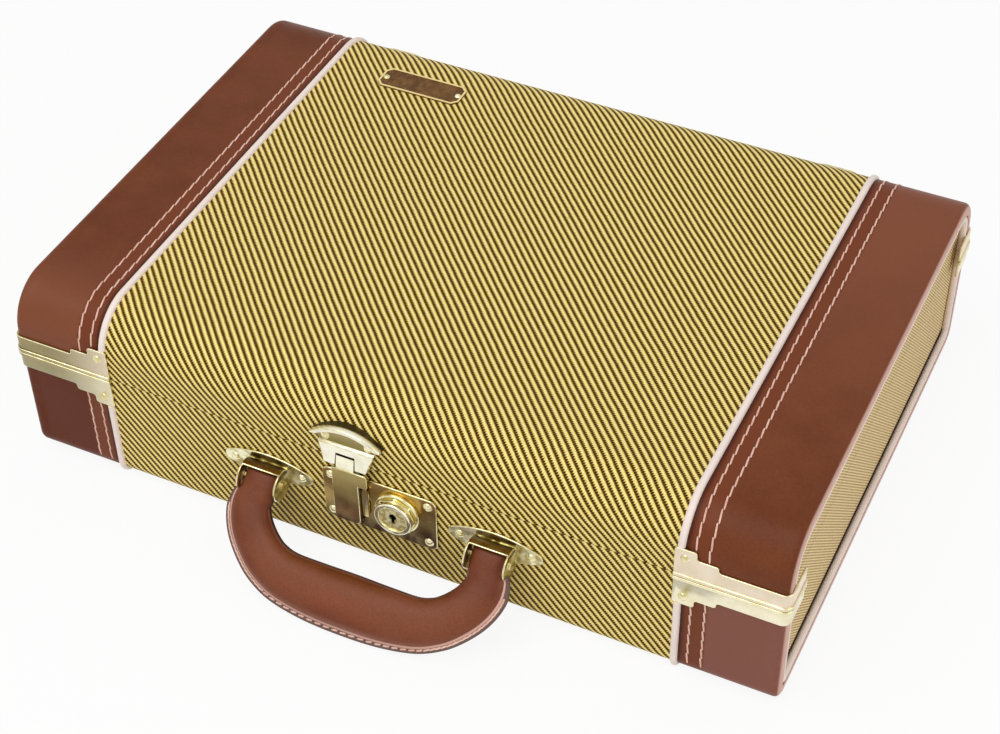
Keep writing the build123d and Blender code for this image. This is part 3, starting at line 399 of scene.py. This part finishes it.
thread_finish, start = new_finish("stitching_thread")
point = place_mm(start)
twist = noise(point, 0.3, 2.0)
color = noise(point, 4.0, 2.0).rise(0.3, 0.7).mix(shade(236, 188, 166), shade(250, 214, 196))
color = (twist.rise(0.4, 0.7) * 0.35).mix(color, shade(186, 122, 100))
paint_surface(start, {"Base Color": color, "Roughness": 0.6 + twist * 0.2}, height=twist, depth=0.2)

stitch_pitch = 5.4
stitch_width = 0.85
stitch_height = 0.55
stitch_slant = 0.11
stitch_stretch = 1.1
stitch_bluntness = 0.4
clamp_clear = (14.8, 11.0)
foot_clear = 7.0


def add_stitch(shape, place, length):
    """One stitch: a thread with round ends that lies along the Z axis of its place, Y pointing out."""
    thread = bmesh.ops.create_uvsphere(shape, u_segments=6, v_segments=6, radius=1)["verts"]
    for vert in thread:
        vert.co.z = math.copysign(abs(vert.co.z) ** stitch_bluntness, vert.co.z)
    size = Matrix.Diagonal((stitch_width / 2, stitch_height / 2, length / 2, 1))
    bmesh.ops.transform(shape, matrix=place @ size, verts=thread)


def over_lid(run):
    """Y, Z and outward turn of the covering of the lid, this far round it from the middle of the top."""
    side = math.copysign(1, run)
    past = abs(run) - flat_half
    if past < 0:
        return run, lid_top, 0.0
    turn = min(past / edge_radius, math.pi / 2)
    drop = max(past - edge_radius * math.pi / 2, 0)
    y = side * (flat_half + edge_radius * math.sin(turn))
    return y, edge_start + edge_radius * math.cos(turn) - drop, side * turn


def stitch_place(x, y, z, turn):
    """Where a stitch lies on a face whose outward side is turned this far from straight up, about X."""
    turned = Matrix.Rotation(-turn, 4, "X") @ Matrix.Rotation(stitch_slant, 4, "Z")
    return Matrix.Translation((x, y, z)) @ turned @ Matrix.Rotation(math.pi / 2, 4, "X")


lid_half_run = flat_half + edge_radius * math.pi / 2 + edge_start - lid_foot
for side_name, side in (("left", -1), ("right", 1)):
    lid_thread = bmesh.new()
    base_thread = bmesh.new()
    for row, clear in zip(row_x, clamp_clear):
        lid_run = 2 * (lid_half_run - clear)
        count = round(lid_run / stitch_pitch)
        pitch = lid_run / count
        for number in range(count):
            y, z, turn = over_lid((number - (count - 1) / 2) * pitch)
            add_stitch(lid_thread, stitch_place(side * row, y, z, turn), pitch * stitch_stretch)
        base_run = base_top - clear - foot_clear
        count = round(base_run / stitch_pitch)
        pitch = base_run / count
        for face in (-1, 1):
            for number in range(count):
                z = base_top - clear - (number + 0.5) * pitch
                place = stitch_place(side * row, face * case_front, z, face * math.pi / 2)
                add_stitch(base_thread, place, pitch * stitch_stretch)
    for thread, body in ((lid_thread, "lid"), (base_thread, "base")):
        round_off(thread)
        finish_piece(thread, f"{body}_stitches_{side_name}", body, thread_finish)

# Piping: pale plastic cord, let in between the cloth and the leather and run round each end panel. It is
# a little soiled in patches.
piping_finish, start = new_finish("pale_piping")
point = place_mm(start)
fine = noise(point, 0.5, 3.0, 0.6)
soil = noise(point, 14.0, 3.0).rise(0.45, 0.8)
color = (soil * 0.3).mix(shade(248, 232, 222), shade(214, 194, 182))
paint_surface(
    start,
    {"Base Color": color, "Roughness": 0.42 + fine * 0.15, "Specular IOR Level": 0.4},
    height=fine,
    depth=0.12,
)
dress(piping_finish, *four_of("band_piping", "end_piping"))


# Corner clamps: pressed brass sheet, riveted over the corners of the lid and the base where they meet.
# The clamps and the front fittings each have a brass with painted light and shade of its own, and their
# rounded edges are painted brighter in pale brass as a highlight.
def new_brass(name):
    """An empty brass finish, and the place of a point in millimetres, which its nodes are added from."""
    finish, start = new_finish(name)
    return finish, place_mm(start)


def polish(point, tint, rough):
    """Ends a finish of polished brass in this tint, with a faint haze."""
    haze = noise(point, 7.0, 3.0, 0.6)
    brush = noise(point, 0.5, 3.0, 0.6)
    tint = (haze.rise(0.35, 0.7) * 0.25).mix(tint, shade(200, 182, 124))
    paint_surface(
        point,
        {"Base Color": tint, "Metallic": 1.0, "Roughness": haze * 0.1 + brush * 0.05 + rough},
        height=haze * 0.7 + brush * 0.015,
        depth=0.12,
    )


brass, point = new_brass("pale_brass")
glint = noise(point, 3.0, 2.0)
polish(point, glint.rise(0.3, 0.7).mix(shade(252, 246, 210), shade(226, 212, 150)), 0.14)
clamp_brass, point = new_brass("clamp_brass")
x, y, z = split(point)
# Painted light and shade: the clamps of the base are painted paler than those of the lid, and those on the
# left darker olive.
tint = z.rise(base_top, base_top + 0.5).mix(shade(252, 244, 214), shade(240, 224, 202))
painted_shade_left = 1 - x.rise(-150, -110)
polish(point, (painted_shade_left * 0.85).mix(tint, shade(130, 118, 70)), 0.24)

weld_gap = 0.004
flat_angle = math.radians(0.6)
sharp_degrees = (32, 96)
curve_radians = (0.01, 0.28)


def round_edges(shape, edges, radius, segments):
    """Bevels some edges of a shape to a round, and gives back the faces of the round."""
    rounded = bmesh.ops.bevel(
        shape,
        geom=edges,
        offset=radius,
        affect="EDGES",
        segments=segments,
        profile=0.5,
        material=-1,
    )
    return rounded["faces"]


def soften(node, radius, finish, reach=0.0):
    """Stands a copy with rounded edges in for a CAD piece, the rounds painted brighter in pale brass as a
    highlight.

    An edge that has an end nearer the middle of the case than reach, along Y, is left sharp.
    """
    shape = bmesh.new()
    shape.from_mesh(nodes[node].data)
    bmesh.ops.scale(shape, vec=(1000, 1000, 1000), verts=shape.verts)
    bmesh.ops.remove_doubles(shape, verts=shape.verts, dist=weld_gap)
    bmesh.ops.dissolve_limit(shape, angle_limit=flat_angle, verts=shape.verts, edges=shape.edges)
    edges = [
        edge
        for edge in shape.edges
        if edge.is_manifold
        and edge.is_convex
        and sharp_degrees[0] < math.degrees(edge.calc_face_angle()) < sharp_degrees[1]
        and all(abs(vert.co.y) >= reach for vert in edge.verts)
    ]
    rounded = round_edges(shape, edges, radius, segments=2)
    for face in shape.faces:
        angles = [edge.calc_face_angle(0.0) for edge in face.edges]
        face.smooth = any(curve_radians[0] < angle < curve_radians[1] for angle in angles)
    # The rounds take the pale brass, a painted highlight along the edges.
    for face in rounded:
        face.smooth = True
        face.material_index = 1
    piece = finish_piece(shape, node + "_soft", nodes[node]["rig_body"], finish)
    piece.data.materials.append(brass)
    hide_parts(node)


clamps = four_of("clamp_front", "clamp_back")
dress(brass, *clamps, "lid_clamp_rivets", "base_clamp_rivets")
for clamp in clamps:
    soften(clamp, 0.3, clamp_brass)

# Hinges: two brass butt hinges on the back of the case. Each has a leaf riveted to the lid and a leaf
# riveted to the base, and turns on its pin.
dress(brass, "lid_hinge_leaves", "base_hinge_leaves", "lid_hinge_rivets", "base_hinge_rivets", "hinge_pins")

# Catch: a fan of brass sheet with a rolled rim, riveted to the lid, and a sloping nose with a notch. The
# flat of the fan is painted darker, lighter towards its top, the rim and the nose are painted near white as
# a highlight, and the cut side of the sheet is painted darker still as shade.
catch_sheet = 1.2
catch_brass, point = new_brass("catch_brass")
x, y, z = split(point)
stand_off = -case_front - y
# Painted light and shade: a darker flat, a near-white highlight on the rim and nose, and painted shade on
# the cut side.
flat_painted_shade = z.rise(65, 71).mix(shade(142, 130, 76), shade(176, 160, 118))
flat_part = stand_off.math("COMPARE", stand_off, catch_sheet, 0.12)
cut_side_painted_shade = 1 - stand_off.rise(catch_sheet - 0.3, catch_sheet - 0.1)
tint = flat_part.mix(shade(255, 252, 232), flat_painted_shade)
polish(point, cut_side_painted_shade.mix(tint, shade(84, 74, 44)), cut_side_painted_shade * 0.25 + 0.3)
dress(brass, "catch", "catch_rivets")
soften("catch", 0.35, catch_brass)

# Hasp, lock plate and key lock: a brass plate carries the hasp on a pin and the turned barrel of the
# lock, and the thin bolt stands beside the hasp. Plate and hasp are painted darker towards the foot, a
# painted reflection of the brown handle.
dress(brass, "lock_plate", "lock_plate_rivets", "lock_bolt", "lock_housing", "lock_cam")
dress(brass, "hasp", "hasp_hinge_pin")
plate_brass, point = new_brass("lock_plate_brass")
x, y, z = split(point)
# Painted reflection: dark brown at the foot of the plate, paler towards the top.
plate_painted_reflection = (z - x * 0.2).rise(24, 44).mix(shade(50, 18, 2), shade(204, 174, 104))
polish(point, plate_painted_reflection, 0.16)
soften("lock_plate", 0.35, plate_brass)

hasp_low, hasp_high = box_mm("hasp")
hasp_brass, point = new_brass("hasp_brass")
x, y, z = split(point)
# Painted reflection on the hasp, dark brown at the foot. The tongue above the base is painted near white as
# a highlight, with a painted shadow line along its top at the slot.
arm_painted_reflection = z.rise(33, 42).mix(shade(140, 98, 60), shade(184, 168, 108))
arm_painted_reflection = z.rise(27, 31).mix(shade(66, 28, 12), arm_painted_reflection)
tongue_painted_light = z.rise(hasp_high.z - 0.4, hasp_high.z - 0.2).mix(shade(255, 252, 226), shade(24, 18, 10))
polish(point, z.rise(base_top - 0.4, base_top - 0.1).mix(arm_painted_reflection, tongue_painted_light), 0.22)
soften("hasp", 0.25, hasp_brass, reach=-hasp_low.y - 0.05)

lock_brass, point = new_brass("lock_brass")
stand_off = -case_front - split(point)[1]
polish(point, stand_off.rise(4.2, 4.6).mix(shade(226, 202, 88), shade(255, 252, 222)), 0.16)
soften("lock_housing", 0.35, lock_brass)

plug_brass, point = new_brass("plug_brass")
stand_off = -case_front - split(point)[1]
# Painted shade: the plug is near black where it sits deep inside the ring.
mottle = noise(point, 1.6, 2.0).rise(0.4, 0.6).mix(shade(206, 190, 120), shade(255, 250, 200))
polish(point, stand_off.rise(4.6, 5.2).mix(shade(20, 12, 4), mottle), 0.34)
dress(plug_brass, "lock_plug")

# Name plate: a bare brown field in a raised gilt border, held to the lid by two small pins. The field is
# stained, and the border is only thinly gilt.
plate_top = box_mm("name_plate")[1].z
plate_finish, start = new_finish("bare_name_plate")
point = place_mm(start)
border = split(point)[2].rise(plate_top - 0.2, plate_top - 0.1)
stain = noise(point, 3.0, 3.0, 0.6)
field = stain.rise(0.3, 0.7).mix(shade(92, 60, 24), shade(124, 88, 48))
paint_surface(
    start,
    {
        "Base Color": border.mix(field, shade(250, 226, 160)),
        "Metallic": border * 0.6,
        "Roughness": 0.4 + stain * 0.15,
        "Specular IOR Level": 0.15,
    },
    height=stain,
    depth=0.05,
)
dress(plate_finish, "name_plate")
dress(brass, "name_plate_rivets")

# Handle mounts: pointed brass plates riveted to the base, with hoods that the handle turns in. The hoods
# are painted dark brown as a reflection, darkest as painted shade in the corner where they meet the plates.
mount_brass, point = new_brass("mount_brass")
x, y, z = split(point)
stand_off = -case_front - y
stain = noise(point, 5.0, 2.0).rise(0.38, 0.62).mix(shade(252, 248, 212), shade(172, 156, 100))
hood = z.rise(38.0, 38.6) * stand_off.rise(1.3, 1.8)
# Painted reflection and shade on the hoods, darkest by the plates.
hood_painted_reflection = stand_off.rise(1.6, 6.4).mix(shade(34, 18, 2), shade(126, 90, 40))
polish(point, hood.mix(stain, hood_painted_reflection), 0.22)
dress(brass, "handle_mounts", "handle_mount_rivets", "handle_pins")
soften("handle_mounts", 0.35, mount_brass)

# Handle: a steel core wrapped in brown leather, flat where it loops round the pins and full in the grip.
# The leather is closed by a seam flange along the outer edge of the handle, stitched through.

# How far round from the seam the flange starts and how soon it is full, then its sizes in millimetres.
flange_start = 0.06
flange_slope = 0.036
flange_half = 1.0
flange_reach = 2.4
fold_reach = 0.5
flange_grows_from = 3.0
flange_grows_over = 9.0

handle_finish, start = new_finish("handle_leather")
point = place_mm(start)
around, along = split(start.node("UVMap", {"uv_map": "seam"}))[:2]
off_seam = abs(around - 0.5)
cut_edge = 1 - off_seam.rise(0.044, 0.05)
flange = 1 - off_seam.rise(flange_start - 0.004, flange_start + 0.002)
inner_fold = off_seam.rise(0.455, 0.475)
# Painted sheen and shade across the handle: a pink highlight by the flange and darker amber towards the
# inner edge. The legs are darker than the grip.
stops = (
    (0.12, shade(160, 104, 84)),
    (0.28, shade(114, 54, 30)),
    (0.5, shade(138, 76, 50)),
    (0.7, shade(122, 62, 26)),
    (0.9, shade(100, 50, 14)),
)
sheen = start.node("ValToRGB", {"stops": stops}, {0: off_seam * 2})
sheen = (abs(along - 0.5).rise(0.1, 0.3) * 0.7).mix(sheen, shade(98, 42, 20))
color, height, rough = leather_base(start, point, sheen, shade(130, 72, 46))
color = flange.mix(color, shade(220, 176, 160))
color = cut_edge.mix(color, shade(112, 88, 80))
color = inner_fold.mix(color, shade(66, 36, 26))
paint_surface(
    start,
    {"Base Color": color, "Roughness": rough + cut_edge * 0.2, "Specular IOR Level": 0.2},
    height=height * 0.2 + noise(point, 12.0) * 0.5,
    depth=0.15,
)

# X, reach from the pins, width and thickness, from the end of a leg to the middle of the grip.
handle_stations = (
    (49.5, -3.4, 14.6, 5.0),
    (49.5, -2.0, 15.0, 7.2),
    (49.5, 1.0, 15.0, 7.8),
    (50.0, 5.0, 15.2, 7.8),
    (51.0, 10.0, 16.0, 8.2),
    (50.0, 15.0, 16.4, 9.0),
    (46.8, 20.6, 16.8, 9.8),
    (41.5, 26.2, 17.2, 10.6),
    (36.0, 30.0, 17.8, 11.4),
    (28.0, 32.8, 19.0, 12.4),
    (15.0, 34.0, 20.8, 13.2),
    (0.0, 34.2, 21.5, 13.6),
)
other_half = [(-x, reach, width, thick) for x, reach, width, thick in reversed(handle_stations)]
handle_line = [*handle_stations[:-1], *other_half]
pins_low, pins_high = box_mm("handle_pins")
pin_place = (pins_low + pins_high) / 2
hang = math.radians(45)


def handle_station(along):
    """Centre in the plane of the handle, width and thickness, part of the way along its line."""
    last = len(handle_line) - 1
    first = min(int(along * last), last - 1)
    part = along * last - first
    picks = [handle_line[max(0, min(last, first + step))] for step in (-1, 0, 1, 2)]
    values = []
    for before, here, there, after in zip(*picks):
        lean, far_lean = (there - before) / 2, (after - here) / 2
        cubic = 2 * here - 2 * there + lean + far_lean
        square = 3 * there - 3 * here - 2 * lean - far_lean
        values.append(((cubic * part + square) * part + lean) * part + here)
    return values


def hung(x, reach, lift):
    """A point at this reach from the pins along the hanging handle, and this far above its plane."""
    y = pin_place.y - math.cos(hang) * reach - math.sin(hang) * lift
    z = pin_place.z - math.sin(hang) * reach + math.cos(hang) * lift
    return Vector((x, y, z))


def handle_point(around, along):
    """A point of the handle's skin. Around is 0.5 at the outer edge and 0 at the inner one."""
    x, reach, width, thick = handle_station(along)
    ahead = handle_station(min(along + 0.002, 1.0))
    behind = handle_station(max(along - 0.002, 0.0))
    forward = Vector((ahead[0] - behind[0], ahead[1] - behind[1])).normalized()
    outward = Vector((forward.y, -forward.x))
    angle = (around - 0.5) * math.tau
    broad = math.copysign(abs(math.cos(angle)) ** 0.8, math.cos(angle)) * width / 2
    deep = math.copysign(abs(math.sin(angle)) ** 0.85, math.sin(angle)) * thick / 2
    grown = max(0.0, min(1.0, (reach - flange_grows_from) / flange_grows_over))
    for middle, reach_out in ((0.5, flange_reach), (0.0, fold_reach)):
        off = abs(around - middle)
        off = min(off, 1 - off)
        if off < flange_start and grown > 0:
            broad += math.copysign(reach_out * grown, broad) * min(1.0, (flange_start - off) / flange_slope)
            limit = flange_half + (1 - grown) * thick / 2
            deep = max(-limit, min(limit, deep))
    return hung(x + outward.x * broad, reach + outward.y * broad, deep)


handle_shape = bmesh.new()
seam_layer = handle_shape.loops.layers.uv.new("seam")
bmesh.ops.create_grid(handle_shape, x_segments=96, y_segments=180, size=0.5, calc_uvs=True)
for face in handle_shape.faces:
    for loop in face.loops:
        loop[seam_layer].uv = (loop.vert.co.x + 0.5, loop.vert.co.y + 0.5)
for vert in handle_shape.verts:
    vert.co = handle_point(vert.co.x + 0.5, vert.co.y + 0.5)
bmesh.ops.remove_doubles(handle_shape, verts=handle_shape.verts, dist=0.0005)
bmesh.ops.holes_fill(handle_shape, edges=handle_shape.edges, sides=0)
bmesh.ops.recalc_face_normals(handle_shape, faces=handle_shape.faces)
round_off(handle_shape)
handle = finish_piece(handle_shape, "handle_cover", "handle", handle_finish)
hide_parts("handle_leather")

seam_stitches = 62
seam_from = 0.16
seam_to = 0.84
seam_inset = 1.3
seam_stitch = 2.7
handle_thread = bmesh.new()
for face in (-1, 1):
    for number in range(seam_stitches):
        middle = seam_from + (seam_to - seam_from) * (number + 0.5) / seam_stitches
        spot = handle_point(0.5, middle)
        ahead = handle_point(0.5, middle + 0.004)
        x, reach = handle_station(middle)[:2]
        line = (ahead - spot).normalized()
        inward = (hung(x, reach, 0.0) - spot).normalized()
        out = Vector((0, -math.sin(hang), math.cos(hang))) * face
        spot = spot + inward * seam_inset + out * flange_half
        axes = Matrix((out.cross(line), out, line)).transposed().to_4x4()
        tilt = Matrix.Rotation(stitch_slant * face, 4, "Y")
        add_stitch(handle_thread, Matrix.Translation(spot) @ axes @ tilt, seam_stitch)
round_off(handle_thread)
finish_piece(handle_thread, "handle_stitches", "handle", thread_finish)

core_finish, start = new_finish("handle_core_steel")
grain = noise(place_mm(start), 4.0, 3.0)
color = grain.mix(shade(120, 118, 114), shade(158, 156, 150))
paint_surface(
    start,
    {"Base Color": color, "Metallic": 1.0, "Roughness": 0.35 + grain * 0.15},
    height=grain,
    depth=0.1,
)
dress(core_finish, "handle_core")

# Inside: the shells are raw plywood, with the plies showing at the edges. Burgundy plush is glued over
# their inner faces, and over the tray board, its rails and the dividers between the slots.
two_plies = 2.0
wood_finish, start = new_finish("raw_plywood")
point = place_mm(start)
stretch = start.node("Mapping", {}, {"Vector": point, "Scale": (0.12, 1.0, 1.0)})
grain = noise(stretch, 1.6, 4.0, 0.6)
plies = start.math("SINE", split(point)[2] * (math.tau / two_plies))
color = grain.rise(0.3, 0.7).mix(shade(222, 190, 142), shade(190, 152, 104))
color = (plies.rise(0.2, 0.8) * 0.3).mix(color, shade(150, 112, 70))
paint_surface(start, {"Base Color": color, "Roughness": 0.7 + grain * 0.1}, height=grain, depth=0.1)
dress(wood_finish, "lid_shell", "base_shell")

plush_finish, start = new_finish("burgundy_plush")
point = place_mm(start)
pile = noise(point, 0.5, 3.0, 0.7)
nap = noise(point, 18.0, 3.0, 0.6)
color = nap.rise(0.3, 0.7).mix(shade(112, 20, 32), shade(146, 34, 48))
color = (pile.rise(0.3, 0.7) * 0.4).mix(color, shade(70, 8, 18))
plush_gloss = {"Roughness": 0.85 + pile * 0.1, "Sheen Weight": 0.35, "Specular IOR Level": 0.2}
paint_surface(start, {"Base Color": color, **plush_gloss}, height=pile, depth=0.4)
dress(plush_finish, "lid_lining", "base_lining", "tray_board", "tray_dividers", "tray_rails")

# Lid pad: a board with thin foam on it, wrapped in plush and glued inside the lid. The foam is crowned
# towards the tray, and its sides are drawn in a little by the plush.
pad_inset = Vector((2, 2, 0))
pad_corner = 6
pad_edge = 3.4
pad_crown = 2.0
pad_step = 12
low, high = box_mm("lid_pad")
centre = (low + high) / 2
extent = high - low
pad_block = Matrix.Translation(centre) @ Matrix.Diagonal((*(extent - pad_inset), 1))
pad_shape = bmesh.new()
bmesh.ops.create_cube(pad_shape, size=1, matrix=pad_block)
upright = [edge for edge in pad_shape.edges if abs(edge.verts[0].co.z - edge.verts[1].co.z) > 1]
round_edges(pad_shape, upright, pad_corner, segments=4)
lower = [edge for edge in pad_shape.edges if max(vert.co.z for vert in edge.verts) < centre.z]
round_edges(pad_shape, lower, pad_edge, segments=4)
bmesh.ops.triangulate(pad_shape, faces=pad_shape.faces)
while long_edges := [edge for edge in pad_shape.edges if edge.calc_length() > pad_step]:
    bmesh.ops.subdivide_edges(pad_shape, edges=long_edges, cuts=1)
    bmesh.ops.triangulate(pad_shape, faces=pad_shape.faces)
for vert in pad_shape.verts:
    if vert.co.z < centre.z:
        part_x = (vert.co.x - centre.x) / (extent.x / 2)
        part_y = (vert.co.y - centre.y) / (extent.y / 2)
        crown = max(0.0, (1 - part_x**4) * (1 - part_y**4))
        vert.co.z += pad_crown * (1 - crown)
bmesh.ops.recalc_face_normals(pad_shape, faces=pad_shape.faces)
round_off(pad_shape)
pad = finish_piece(pad_shape, "lid_pad_cushion", "lid", plush_finish)
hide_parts("lid_pad")
